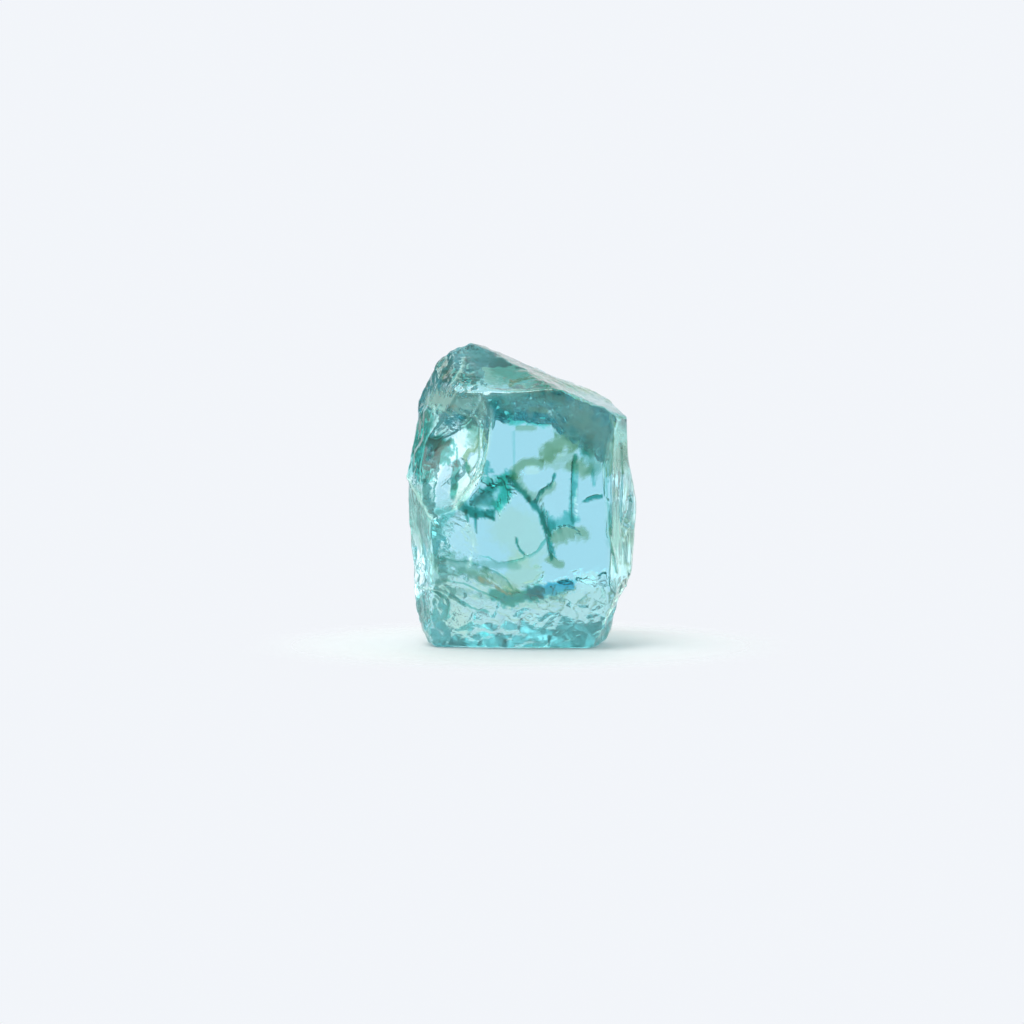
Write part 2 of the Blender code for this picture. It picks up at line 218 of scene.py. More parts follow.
# Each groove or, with a negative depth, crest: the side of the stone that it lies on, its half
# width, its depth, and its path as X, Z. A front one's heights are those it is seen at.
CRACKS = {
    "crack_tail": ("back", 0.11, 0.17, [
        (1.26, 5.3), (1.31, 4.83), (1.37, 4.35), (1.47, 3.94), (1.77, 3.66),
    ]),
    "heart_tip": ("back", 0.12, 0.18, [
        (0.64, 6.69), (1.08, 7.05), (1.49, 7.22), (1.65, 7.5), (1.67, 7.9),
    ]),
    "long_bar": ("back", 0.13, 0.26, [(2.63, 8.87), (2.6, 7.6), (2.62, 5.56)]),
    "right_bar": ("back", 0.12, 0.14, [(3.06, 6.69), (3.47, 6.85), (3.95, 7)]),
    "short_bar": ("back", 0.07, 0.06, [(3.47, 8.23), (3.45, 7.5)]),
    "scar_rim": ("back", 0.1, 0.07, [
        (1.12, 4.79), (0.6, 4.06), (-0.29, 3.7), (-1.18, 3.54), (-1.95, 3.94),
    ]),
    "small_arc": ("front", 0.05, 0.05, [
        (-0.23, 5.21), (-0.19, 4.91), (-0.06, 4.65), (0.14, 4.45),
    ]),
    "rim_crest": ("front", 0.11, -0.06, [
        (-1.41, 11.48), (-1.41, 10.67), (-1.52, 9.86), (-1.64, 9.13), (-1.91, 8.41),
        (-2.27, 7.72), (-2.76, 7.11), (-3.24, 6.59),
    ]),
    "rim_inner": ("front", 0.08, -0.05, [
        (-1.92, 10.99), (-1.96, 10.02), (-1.92, 9.13), (-2.07, 8.41), (-2.47, 7.6),
        (-2.96, 6.95),
    ]),
    "left_crest": ("front", 0.12, -0.08, [
        (-5.61, 8.41), (-5.14, 7.56), (-4.62, 6.71), (-3.93, 5.66),
    ]),
    "dome_crest": ("front", 0.14, -0.1, [
        (-2.73, 14.02), (-2.8, 13.34), (-3.02, 12.81), (-3.4, 12.33),
    ]),
    "edge_crest": ("front", 0.07, -0.05, [
        (4.3, 11.32), (4.4, 10.35), (4.15, 9.38), (3.99, 8.57), (4.07, 7.03), (4.15, 5.42),
        (4.52, 4.2), (4.64, 3.4),
    ]),
    "right_glint": ("front", 0.16, 0.12, [(5.22, 7.36), (5.19, 6.55), (4.96, 5.9), (4.98, 5.42)]),
    "right_groove": ("front", 0.12, 0.07, [
        (4.74, 9.86), (4.84, 8.25), (4.72, 6.63), (4.84, 5.01),
    ]),
    "low_arc": ("front", 0.07, 0.06, [(0.52, 3.64), (0.76, 3.78), (1.02, 3.72)]),
    "foot_arc": ("front", 0.09, 0.09, [(-0.05, 2.91), (0.6, 3.03), (0.96, 3.4), (1.12, 3.64)]),
    "chunk_crest": ("front", 0.1, -0.12, [
        (-4.94, 2.75), (-4.41, 2.79), (-3.69, 2.59), (-3.12, 2.26), (-2.55, 1.78),
    ]),
    "valley_line": ("front", 0.07, 0.06, [
        (-3.93, 4.24), (-3.2, 4.08), (-2.47, 4), (-1.83, 3.8), (-1.18, 3.52), (-0.7, 3.15),
        (-0.41, 2.75),
    ]),
    "valley_foot": ("front", 0.07, 0.05, [
        (-3.69, 3.4), (-2.8, 3.48), (-1.99, 3.31), (-1.34, 2.91), (-0.7, 2.59),
    ]),
    "chunk_edge": ("front", 0.08, 0.12, [
        (-3.69, 2.59), (-3.51, 1.94), (-3.56, 1.29), (-3.2, 0.81),
    ]),
    "chunk_low": ("front", 0.07, 0.1, [(-4.62, 1.86), (-4.4, 1.13), (-4.62, 0.57)]),
    "brow_arc": ("front", 0.07, -0.05, [
        (-3.93, 10.67), (-3.44, 11.11), (-2.8, 11.28), (-2.15, 10.99), (-1.87, 10.51),
    ]),
    "brow_line": ("front", 0.05, -0.05, [(-3.69, 11.32), (-3.12, 10.91), (-2.88, 10.35)]),
    "brow_fold": ("front", 0.08, 0.07, [
        (-4.01, 10.19), (-3.36, 10.51), (-2.72, 10.67), (-2.15, 11.32),
    ]),
}

# Over what length a groove or crest fades out towards its ends, and what share of it is left there.
# Also how closely its beads are spaced, and how far they swell it.
CRACK_FADE = 0.25
CRACK_END = 0.25
BEAD = 0.12
BEAD_SWELL = 0.5

# What each kind of veil lets through, as the colour of light that has crossed it twice. The deep,
# emerald, azure and sea-green veils are painted shade: darker tones where the stone's inner cracks
# and faces would turn light away. The sage and olive ones are frosty haze and partly painted shade
# too; straw warms the colour and mist is a pale haze.
HAZE_AND_SHADE_COLOURS = {
    "deep": "0B7C6E",
    "sage": "589C86",
    "olive": "7A9A68",
    "emerald": "14C09A",
    "azure": "1FA6C4",
    "straw": "FBF0C0",
    "mist": "E4F2EA",
    "painted_sea_shade": "6FB0A0",
}
FROSTY_VEILS = ("sage", "olive")
COMBED_VEILS = ("deep", "emerald")
# What a wholly grey surface lets through, in the same way.
GREY = "C8BEBC"
# What the back face adds to a point's frost, and what a veil's frost and its white mist add.
BACK_FROST = 0.1
VEIL_FROST = 0.7
MIST_FROST = 0.3
# What a veil's frost adds to the white of a bruise, and what a crest or the window's bevel adds: on
# a crest partly bruise and partly a painted highlight, on the bevel a painted highlight along the ridge.
FROST_WHITE = 0.15
CREST_WHITE = 0.9

# The length of the teeth that run across a path, and the width of a veil's. Also the length and the
# width of the strands that run along one, and how much either frays a veil's edge.
TOOTH_LENGTH = 1.2
VEIL_TOOTH = 0.11
STRAND_LENGTH = 1.5
STRAND_WIDTH = 0.11
VEIL_FRAY = 0.5

# Each veil, a soft stroke of haze, painted shade or white mist in the colour the stone lets through:
# its kind, the side of the stone that it lies on, its half width, how far it fades out, how ragged
# it is, its strength, and its path as X, Z, with heights as for the cracks.
HAZE_AND_SHADE_VEILS = {
    # Painted shade and haze along the long crack behind the window, with the ends that branch off it.
    "heart_arc": ("olive", "back", 0.1, 0.21, 0.5, 0.95, [
        (-0.41, 7.99), (-0.29, 8.35), (0.11, 8.59), (0.52, 8.65), (0.9, 8.49),
    ]),
    "olive_band": ("olive", "back", 0.21, 0.36, 0.6, 1.0, [
        (1.16, 9), (1.61, 9.32), (2.05, 9.68), (2.5, 9.56),
    ]),
    "olive_fall": ("olive", "back", 0.11, 0.57, 0.5, 0.4, [(1.45, 8.75), (2.42, 8.79)]),
    "heart_tip": ("deep", "back", 0.06, 0.09, 0.6, 1.2, [
        (0.68, 6.68), (1.04, 7), (1.41, 7.26), (1.63, 7.54), (1.69, 7.89),
    ]),
    "tip_fuzz": ("olive", "back", 0.08, 0.23, 0.6, 0.6, [(0.96, 6.73), (1.37, 7.06), (1.65, 7.38)]),
    "crack_head": ("deep", "back", 0.09, 0.13, 0.7, 1.1, [
        (-0.7, 7.82), (-0.37, 7.48), (-0.01, 7.14), (0.36, 6.81),
    ]),
    "head_fuzz": ("olive", "back", 0.1, 0.21, 0.6, 0.55, [
        (-0.41, 7.86), (0.03, 7.26), (0.48, 6.85),
    ]),
    "crack_run": ("deep", "back", 0.08, 0.1, 0.5, 1.3, [
        (0.36, 6.81), (0.76, 6.29), (1.04, 5.84), (1.2, 5.32), (1.33, 4.75), (1.42, 4.27),
        (1.5, 3.9),
    ]),
    "crack_knee": ("deep", "back", 0.13, 0.21, 0.6, 0.6, [(1.04, 5.88), (1.24, 5.6), (1.45, 5.4)]),
    "crack_foot": ("olive", "back", 0.11, 0.13, 0.6, 0.85, [
        (1.33, 3.9), (1.61, 3.7), (1.88, 3.64),
    ]),
    # Painted shade along the bars, and the haze on its right.
    "bar": ("deep", "back", 0.07, 0.11, 0.5, 0.8, [
        (2.64, 8.87), (2.6, 7.99), (2.56, 7.18), (2.54, 6.37), (2.54, 5.64),
    ]),
    "bar_foot": ("deep", "back", 0.11, 0.27, 0.6, 0.5, [
        (1.45, 5.33), (1.81, 5.38), (2.21, 5.58), (2.54, 5.75),
    ]),
    "low_haze": ("olive", "back", 0.11, 0.34, 0.5, 0.8, [(1.53, 4.87), (2.13, 5.03), (2.96, 5.14)]),
    "right_bar": ("deep", "back", 0.05, 0.07, 0.4, 1.1, [(3.06, 6.68), (3.47, 6.8), (3.95, 6.97)]),
    "short_bar": ("deep", "back", 0.03, 0.07, 0.3, 0.4, [(3.47, 8.23), (3.52, 7.5)]),
    "right_haze": ("sage", "back", 0.5, 0.6, 0.4, 0.45, [
        (2.21, 10.73), (2.94, 10.41), (3.47, 9.68),
    ]),
    "right_haze_foot": ("sage", "back", 0.19, 0.4, 0.5, 0.75, [
        (3.18, 9.44), (3.31, 8.79), (3.59, 8.31),
    ]),
    "haze_tail": ("olive", "back", 0.15, 0.36, 0.5, 0.85, [(2.66, 8.51), (3.14, 8.23)]),
    "haze_front": ("sage", "front", 0.48, 0.65, 0.5, 0.25, [
        (2.86, 10.35), (4.07, 9.7), (4.96, 9.05),
    ]),
    "haze_mist": ("mist", "front", 0.4, 0.73, 1.0, 0.28, [
        (2.94, 10.67), (3.59, 9.86), (4.4, 9.13),
    ]),
    # Painted shade and haze on the lens, the fine lines and the round scar.
    "lens": ("olive", "back", 0.11, 0.08, 0.2, 0.6, [(-0.15, 10.25), (0.5, 10.25)]),
    "upright_line": ("deep", "back", 0.02, 0.04, 0.1, 0.25, [(-0.39, 10.09), (-0.37, 8.23)]),
    "small_arc": ("deep", "front", 0.03, 0.05, 0.1, 1.1, CRACKS["small_arc"][3]),
    "scar_arc": ("deep", "back", 0.03, 0.08, 0.2, 0.4, [
        (1.18, 4.83), (0.94, 4.43), (0.52, 4.06), (0.03, 3.85), (-0.41, 3.68), (-1.18, 3.62),
        (-1.71, 3.9),
    ]),
    "scar_glow": ("straw", "back", 0.6, 0.8, 0.3, 0.5, [
        (-0.53, 5.4), (0.11, 5.16), (0.27, 4.51),
    ]),
    # Painted shade: the dark blob beside the deep flake, and what drips from it.
    "blob_base": ("deep", "front", 0.37, 0.27, 0.7, 0.2, [
        (-0.6, 7.8), (-1.34, 7.15), (-2.47, 6.75),
    ]),
    "blob_brow": ("deep", "front", 0.14, 0.21, 0.8, 0.45, [
        (-0.52, 8.18), (-0.94, 7.91), (-1.34, 7.58), (-1.83, 7.37),
    ]),
    "blob_body": ("deep", "front", 0.19, 0.21, 0.8, 0.25, [
        (-0.57, 7.4), (-0.98, 6.95), (-1.42, 6.53),
    ]),
    "blob_emerald": ("emerald", "front", 0.19, 0.19, 0.6, 0.7, [
        (-0.78, 7.96), (-0.78, 7.36), (-1.1, 6.79),
    ]),
    "blob_jaw": ("deep", "front", 0.13, 0.19, 0.8, 1.25, [
        (-1.42, 6.45), (-1.99, 6.37), (-2.55, 6.53), (-2.8, 6.71),
    ]),
    "blob_heart": ("sage", "front", 0.21, 0.21, 0.5, 0.6, [(-1.5, 7.03), (-1.99, 6.95)]),
    "blob_grey": ("azure", "front", 0.18, 0.19, 0.5, 0.35, [(-2.15, 7.03), (-1.58, 7.11)]),
    "drip_one": ("deep", "front", 0.03, 0.06, 0.3, 1.1, [(-2.62, 6.51), (-2.55, 6)]),
    "drip_two": ("deep", "front", 0.03, 0.05, 0.3, 1.0, [(-2.17, 6.35), (-2.13, 5.46)]),
    "drip_three": ("deep", "front", 0.04, 0.06, 0.3, 1.1, [(-1.71, 6.31), (-1.28, 6.09)]),
    # The deep flake on the left, in painted shade and haze: its roof, its shadows, its sliver and its
    # rims.
    "flake_brow": ("sage", "front", 0.32, 0.48, 0.5, 0.65, [
        (-3.93, 11.72), (-2.96, 11.64), (-2.07, 11.48),
    ]),
    "roof_mist": ("mist", "front", 0.16, 0.4, 1.2, 0.4, [
        (-4.25, 11.88), (-3.12, 11.72), (-2.15, 11.72),
    ]),
    "flake_grey": ("sage", "front", 0.29, 0.27, 0.6, 0.2, [(-2.59, 10.75), (-2.15, 10.27)]),
    "flake_teal": ("sage", "front", 0.27, 0.32, 0.7, 0.35, [
        (-4.33, 10.99), (-3.69, 10.35), (-3.93, 9.86),
    ]),
    "flake_spot": ("deep", "front", 0.06, 0.13, 1.0, 0.9, [
        (-4.04, 9.3), (-3.99, 9.55), (-3.78, 9.68), (-3.54, 9.73),
    ]),
    "flake_shadow": ("deep", "front", 0.18, 0.4, 0.8, 1.2, [
        (-4.21, 9.86), (-3.77, 9.5), (-3.93, 9.05),
    ]),
    "flake_shadow_two": ("sage", "front", 0.18, 0.32, 0.8, 0.6, [
        (-2.55, 10.67), (-2.15, 10.35), (-2.31, 9.94),
    ]),
    "flake_foot": ("deep", "front", 0.13, 0.19, 0.8, 0.4, [
        (-3.93, 6.47), (-3.56, 6.22), (-3.28, 6.55),
    ]),
    "sliver_neck": ("deep", "front", 0.02, 0.05, 0.2, 0.8, [
        (-3.08, 9.52), (-3.06, 9.22), (-3.08, 8.81),
    ]),
    "sliver": ("deep", "front", 0.12, 0.1, 0.6, 1.0, [
        (-3.08, 8.81), (-3.14, 8.25), (-3.18, 7.68),
    ]),
    "sliver_foot": ("deep", "front", 0.1, 0.08, 0.4, 0.7, [(-3.18, 7.68), (-3.24, 7.19)]),
    "rim_line": ("deep", "front", 0.02, 0.05, 0.2, 0.22, [
        (-1.44, 11.16), (-1.5, 10.35), (-1.71, 9.05), (-2.15, 8), (-3.12, 6.71),
    ]),
    "rim_inner": ("sage", "front", 0.02, 0.05, 0.2, 0.2, [
        (-1.81, 10.99), (-1.89, 10.19), (-1.95, 9.38), (-2.21, 8.57),
    ]),
    "rim_hairs": ("deep", "front", 0.05, 0.24, 1.4, 0.55, [
        (-1.73, 8.65), (-1.6, 8), (-1.5, 7.44),
    ]),
    # Painted shade on the shoulder and the left side.
    "shoulder_band": ("deep", "front", 0.26, 0.27, 0.25, 1.0, [
        (-4.62, 10.99), (-4.79, 10.27), (-4.9, 9.54), (-4.82, 8.73), (-4.62, 8.25),
    ]),
    "shoulder_dim": ("deep", "front", 0.24, 0.4, 0.3, 0.28, [
        (-5.14, 10.27), (-5.34, 9.38), (-5.46, 8.57),
    ]),
    "side_grey": ("sage", "front", 0.44, 0.57, 0.3, 0.5, [
        (-5.02, 7.03), (-4.9, 6.22), (-4.82, 5.5),
    ]),
    "left_dim": ("deep", "front", 0.32, 0.48, 0.3, 0.25, [(-5.14, 6.79), (-5.06, 5.98)]),
    # Painted shade and haze in the valley across the stone's foot, and on the chunks under it.
    "valley": ("sage", "front", 0.21, 0.29, 0.9, 0.75, [
        (-4.09, 4.2), (-3.28, 4.04), (-2.55, 3.76), (-1.83, 3.35),
    ]),
    "valley_foot": ("sage", "front", 0.24, 0.24, 0.6, 0.35, [(-4.17, 3.56), (-3.69, 3.4)]),
    "valley_tail": ("olive", "front", 0.13, 0.19, 0.9, 0.5, [
        (-1.83, 3.56), (-1.1, 3.19), (-0.36, 2.65),
    ]),
    "valley_edge": ("deep", "front", 0.02, 0.05, 0.5, 0.6, [
        (-3.93, 4.24), (-3.2, 4.11), (-2.47, 4.03), (-1.83, 3.82), (-1.18, 3.54),
        (-0.7, 3.17), (-0.37, 2.73),
    ]),
    "valley_low_edge": ("deep", "front", 0.02, 0.05, 0.6, 0.5, [
        (-4.33, 3.03), (-3.61, 3.19), (-2.72, 3.07), (-1.99, 2.67), (-1.18, 2.26),
    ]),
    "valley_stroke": ("sage", "front", 0.1, 0.15, 1.0, 0.5, [
        (-3.93, 3.72), (-2.96, 3.64), (-2.15, 3.4), (-1.5, 2.99),
    ]),
    "low_sage": ("sage", "front", 0.08, 0.18, 0.5, 0.45, [
        (-1.83, 3.96), (-0.86, 3.88), (-0.21, 3.88),
    ]),
    "low_straw": ("straw", "front", 0.32, 0.48, 0.5, 0.7, [
        (-0.13, 3.88), (0.36, 3.4), (-0.21, 3.15),
    ]),
    "low_band": ("deep", "front", 0.24, 0.24, 0.6, 1.1, [
        (-1.18, 2.43), (-0.53, 2.18), (0.03, 2.38), (0.68, 2.51),
    ]),
    "low_blue": ("azure", "front", 0.19, 0.21, 0.6, 1.4, [
        (0.52, 2.49), (1.08, 2.65), (1.73, 2.83), (2.26, 2.93),
    ]),
    "chunk_straw": ("straw", "front", 0.4, 0.48, 0.8, 0.4, [
        (-3.69, 2.59), (-3.93, 1.78), (-2.96, 1.05),
    ]),
    "chunk_top_edge": ("deep", "front", 0.02, 0.06, 0.6, 0.6, [
        (-5.02, 2.79), (-4.41, 2.65), (-3.93, 2.49), (-3.54, 1.94), (-3.51, 1.25),
    ]),
    "chunk_right_edge": ("deep", "front", 0.02, 0.06, 0.7, 0.5, [
        (-3.52, 2.59), (-2.96, 2.18), (-2.31, 1.78), (-1.58, 1.54),
    ]),
    "chunk_side": ("deep", "front", 0.11, 0.18, 0.9, 0.35, [
        (-4.86, 2.26), (-4.74, 1.62), (-4.45, 1.05),
    ]),
    "arc_strokes": ("sage", "front", 0.06, 0.13, 1.0, 0.45, [
        (-3.69, 2.75), (-2.96, 2.59), (-2.31, 2.59), (-1.5, 2.26),
    ]),
    # Painted shade on the narrow face on the right.
    "edge_line": ("deep", "front", 0.02, 0.06, 0.2, 0.3, [
        (4.33, 10.99), (4.07, 9.86), (3.96, 9.05), (4.04, 7.84), (4.15, 6.47), (4.24, 5.09),
        (4.52, 3.56),
    ]),
    "right_grey": ("sage", "front", 0.23, 0.36, 0.4, 0.45, [(4.84, 10.51), (4.76, 9.13)]),
    "right_grey_low": ("sage", "front", 0.2, 0.36, 0.4, 0.4, [(4.56, 6.55), (4.52, 5.09)]),
    # Painted shade on the dome and the sloping top.
    "dome_dark": ("deep", "front", 0.18, 0.23, 0.5, 0.85, [
        (-3.56, 13), (-2.96, 12.92), (-2.39, 12.81),
    ]),
    "dome_olive": ("olive", "front", 0.27, 0.36, 0.5, 0.15, [(-4.33, 12.77), (-3.85, 13.34)]),
    "top_sage": ("painted_sea_shade", "front", 0.57, 0.57, 0.4, 0.6, [
        (-1.83, 13.66), (-0.53, 13.1), (0.92, 12.65),
    ]),
    "top_emerald": ("emerald", "front", 0.18, 0.32, 0.9, 0.5, [
        (0.6, 13.1), (1.41, 12.73), (2.38, 12.29),
    ]),
    "top_dim": ("deep", "front", 0.48, 0.48, 0.5, 0.5, [
        (-0.7, 13.5), (0.6, 12.93), (1.73, 12.53),
    ]),
    # The painted dark band under the window's top edge, with its mist.
    "band_emerald": ("emerald", "back", 0.21, 0.21, 0.6, 0.7, [
        (-0.57, 10.75), (0.11, 10.85), (0.76, 10.69), (1.04, 10.64),
    ]),
    "band_left": ("emerald", "front", 0.23, 0.26, 0.6, 0.45, [(-1.18, 11.72), (-0.7, 11.16)]),
    "band_mid": ("emerald", "front", 0.19, 0.34, 0.6, 0.15, [
        (-0.53, 11.96), (0.6, 12.13), (1.73, 11.88),
    ]),
    "band_right": ("sage", "front", 0.27, 0.4, 0.5, 0.2, [
        (1.97, 11.48), (2.78, 10.99), (3.43, 10.35),
    ]),
    "band_corner": ("deep", "front", 0.16, 0.24, 0.7, 0.55, [(3.23, 9.94), (3.18, 9.38)]),
    "band_rust": ("olive", "front", 0.08, 0.11, 0.6, 0.5, [(0.52, 11.32), (1.16, 11.28)]),
    "band_blue": ("azure", "front", 0.13, 0.16, 0.6, 0.4, [(0.27, 11.11), (1, 10.99)]),
    "band_mist": ("mist", "front", 0.24, 0.65, 1.1, 0.38, [
        (-0.21, 11.84), (0.76, 11.56), (1.81, 11.48), (2.86, 10.99),
    ]),
}

# Long shallow streaks on a face: the direction that they run, the width between them, their depth.
STREAKS = {
    "top_front": ((0.80, 0.30, -0.52), 0.16, 0.06),
    "crown": ((0.80, 0.30, -0.52), 0.25, 0.04),
    "top_back": ((0.3, 0.5, -0.8), 0.16, 0.05),
    "top_back_right": ((0.3, 0.5, -0.8), 0.16, 0.05),
    "low_left_flake": ((0.95, 0.0, -0.3), 0.13, 0.04),
    "left_side": ((0.2, 0.3, 0.93), 0.4, 0.03),
    "right_front": ((0.0, 0.1, 1.0), 0.34, 0.016),
    "left_back": ((0.2, 0.3, 0.93), 0.4, 0.03),
}
# How many times longer than wide a streak is.
STREAK_LENGTH = 14
# The white strands on the sloping top: their width, how sharply they stand out, and how much of the
# noise stays clear.
WHITE_STRANDS = (0.11, 3.0, 0.4)

# How strongly each surface shows the finest streaks.
STREAKED = {
    "top_front": 0.8, "crown": 0.5, "dome": 0.1, "low_left_flake": 1.0, "low_front": 0.4,
    "left_side": 0.15, "left_flake": 0.1,
}

# Rust stains on the outside, each a short path as X, Y, Z with its half width.
STAINS = {
    "dome_rust": (0.22, [(-4.1, -1.2, 13.95), (-3.75, -1.6, 13.6), (-3.55, -1.9, 13.2)]),
    "slope_rust": (0.06, [(-0.75, -2.6, 12.95), (-0.3, -2.9, 12.8)]),
    "shoulder_rust": (0.07, [(-3.3, -3.4, 11.8), (-3.25, -3.5, 11.6)]),
    "low_rust": (0.06, [(-1.9, -4.4, 3.5), (-1.3, -4.4, 3.15), (-0.5, -4.3, 2.7)]),
    "side_rust": (0.05, [(-4.5, -3.2, 5.0), (-4.45, -3.2, 4.6)]),
}
# How many half widths from its path a stain's specks reach.
STAIN_REACH = 3

# The tables that all the noise is worked out from, 256 entries that repeat, and what brings it up
# to about 1.
rng = np.random.default_rng(7)
SHUFFLE = np.tile(rng.permutation(256), 3)
SLOPES = rng.normal(size=(256, 3))
SLOPES /= np.linalg.norm(SLOPES, axis=1)[:, None]
NOISE_GAIN = 1.6

# The broken plates of the lower end: how many there are, how high they reach, how steeply and how
# far they stand out, how softly one gives way to the next in square millimetres, and how many points
# are worked out at once. Then the middle of each, the slope of its plane and its lift.
PLATE_COUNT = 2600
PLATE_TOP = 4.8
PLATE_SLOPE = 0.36
PLATE_LIFT = 0.09
PLATE_BLEND = 0.016
PLATE_BATCH = 10000
PLATE_SEEDS = rng.uniform((-6, -5, -0.5), (6, 5, 4.5), size=(PLATE_COUNT, 3))
PLATE_TILTS = rng.normal(size=(PLATE_COUNT, 3)) * PLATE_SLOPE
PLATE_LIFTS = rng.uniform(-PLATE_LIFT, PLATE_LIFT, PLATE_COUNT)


def facing(bearing, tilt):
    """The unit direction with this bearing and upward tilt, in degrees."""
    around, up = np.radians(bearing), np.radians(tilt)
    return np.array([np.sin(around) * np.cos(up), -np.cos(around) * np.cos(up), np.sin(up)])


def smooth_max(one, other, blend):
    """The larger of two fields, rounded off where they differ by less than the blend."""
    share = np.clip(0.5 + 0.5 * (one - other) / blend, 0.0, 1.0)
    return other + (one - other) * share + blend * share * (1.0 - share)


def noise(points):
    """Gradient noise of about -1 to 1: each corner of a cell has a slope, and the heights that the
    eight slopes give are eased together."""
    corner = np.floor(points).astype(int)
    inside = points - corner
    corner &= 255
    ease = inside**3 * (inside * (inside * 6 - 15) + 10)
    total = np.zeros(len(points))
    for step in np.ndindex(2, 2, 2):
        x, y, z = ((corner + step) & 255).T
        slope = SLOPES[SHUFFLE[SHUFFLE[SHUFFLE[x] + y] + z]]
        weight = np.where(step, ease, 1 - ease).prod(axis=1)
        total += weight * (slope * (inside - step)).sum(axis=1)
    return total * NOISE_GAIN


def rough_noise(points, octaves):
    """Noise with each octave half as wide and half as strong as the one before."""
    return sum(noise(points * 2.0**n + 17.3 * n) * 0.5**n for n in range(octaves))


def lumps(name, points):
    """The noise of one kind of lumps."""
    width, shift, sizes = LUMPS[name]
    return rough_noise(points / width + shift, sizes)


def flake_ball(name):
    """The middle and radius of the ball that leaves this flake's dish in its face."""
    face, middle, rim, depth = FLAKES[name]
    bearing, tilt, place, _ = FACES[face]
    normal = facing(bearing, tilt)
    radius = (rim**2 + depth**2) / (2 * depth)
    middle = np.array(middle)
    on_face = middle - normal * (middle - place).dot(normal)
    return on_face + normal * (radius - depth), radius


SURFACES = list(FACES) + list(FLAKES)
FACE_NORMALS = [facing(face[0], face[1]) for face in FACES.values()]
FACE_PLACES = [np.array(face[2]) for face in FACES.values()]


def flake_height(name, points):
    """How far each point is inside this flake's ball, and under its brow if it has one."""
    middle, radius = flake_ball(name)
    height = radius - np.linalg.norm(points - middle, axis=1)
    if name in BROWS:
        bearing, tilt, place = BROWS[name]
        under = (points - np.array(place)) @ facing(bearing, tilt)
        height = -smooth_max(-height, -under, FLAKE_ROUND)
    return height


def face_heights(points):
    """How far each point is outside each face and inside each flake, one row for each."""
    flat = [(points - place) @ normal for place, normal in zip(FACE_PLACES, FACE_NORMALS)]
    return np.array(flat + [flake_height(name, points) for name in FLAKES])


def outside(points):
    """Positive outside the plain stone: the smooth maximum over its faces and then its flakes."""
    heights = face_heights(points)
    field = heights[0]
    for height in heights[1:len(FACES)]:
        field = smooth_max(field, height, FACE_ROUND)
    for height in heights[len(FACES):]:
        field = smooth_max(field, height, FLAKE_ROUND)
    return field


def path_distance(across, up, path, closed):
    """Distance to a path, negative inside a closed one, the distance gone along it to the nearest
    point, and its whole length."""
    ends = np.array(path, float)
    starts = ends if closed else ends[:-1]
    nearest = np.full(len(across), np.inf)
    along = np.zeros(len(across))
    within = np.zeros(len(across), bool)
    gone = 0.0
    for (ax, az), (bx, bz) in zip(starts, np.roll(ends, -1, axis=0)):
        run = np.array([bx - ax, bz - az])
        length = np.hypot(*run)
        share = np.clip(((across - ax) * run[0] + (up - az) * run[1]) / length**2, 0, 1)
        distance = np.hypot(across - ax - share * run[0], up - az - share * run[1])
        along = np.where(distance < nearest, gone + share * length, along)
        nearest = np.minimum(nearest, distance)
        rise = bz - az if bz != az else 1e-9
        within ^= ((az > up) != (bz > up)) & (across < run[0] * (up - az) / rise + ax)
        gone += length
    return np.where(within, -nearest, nearest) if closed else nearest, along, gone


def plates(points):
    """Angular broken plates on the low part of the stone: each point follows the tilted planes of
    its nearest seeds, which give way to each other over a short distance."""
    height = np.zeros(len(points))
    low = np.flatnonzero(points[:, 2] < PLATE_TOP)
    for start in range(0, len(low), PLATE_BATCH):
        rows = low[start:start + PLATE_BATCH]
        some = points[rows]
        apart = ((some[:, None, :] - PLATE_SEEDS[None]) ** 2).sum(axis=2)
        weight = np.exp(-(apart - apart.min(axis=1)[:, None]) / PLATE_BLEND)
        planes = some @ PLATE_TILTS.T - (PLATE_SEEDS * PLATE_TILTS).sum(axis=1) + PLATE_LIFTS
        height[rows] = (weight * planes).sum(axis=1) / weight.sum(axis=1)
    return height


def ripples(points, origin, spacing):
    """Shell-like rings: the sine of the distance from the point that the blow came from, which
    wanders by up to a quarter of a millimetre, fading in and out over about a millimetre."""
    reach = np.linalg.norm(points - np.array(origin), axis=1) + 0.25 * noise(points / 1.3)
    return np.sin(2 * np.pi * reach / spacing) * (0.5 + 0.5 * noise(points / 1.1 + 5))


def growth_lines(points):
    """Upright lines: noise that is tight round the prism and drawn out along it."""
    around = np.arctan2(points[:, 0], -points[:, 1]) * RIGHT
    total = np.zeros(len(points))
    for layer, (width, length, strength) in enumerate(GROWTH):
        depth = np.full(len(points), layer)
        total += strength * noise(np.column_stack([around / width, points[:, 2] / length, depth]))
    return total


def shares(points):
    """How much of each point belongs to each face and flake, and how near it is to an edge: bell
    curves of how far each surface lies under the outermost one, and the second under the first."""
    heights = face_heights(points)
    top = np.sort(heights, axis=0)[-2:]
    edge = np.exp(-(((top[1] - top[0]) / EDGE_REACH) ** 2))
    weight = np.exp(-(((heights.max(axis=0) - heights) / BORDER) ** 2))
    return weight / weight.sum(axis=0), edge


def kind_shares(weight):
    """The share of each way a surface forms, from the shares of the faces and flakes."""
    kinds = [face[3] for face in FACES.values()]
    kinds += ["prism" if name in CLEAR_FLAKES else "glassy" for name in FLAKES]
    return {kind: weight[np.array(kinds) == kind].sum(axis=0) for kind in CARVING}


def combed(along, distance, width):
    """Noise that runs straight across a path, as the teeth of a comb."""
    return noise(np.column_stack([along / width, distance / TOOTH_LENGTH, np.zeros(len(along))]))


def drawn_out(along, distance):
    """Noise that runs along a path in long thin strands."""
    return noise(np.column_stack([along / STRAND_LENGTH, distance / STRAND_WIDTH, np.zeros(len(along))]))


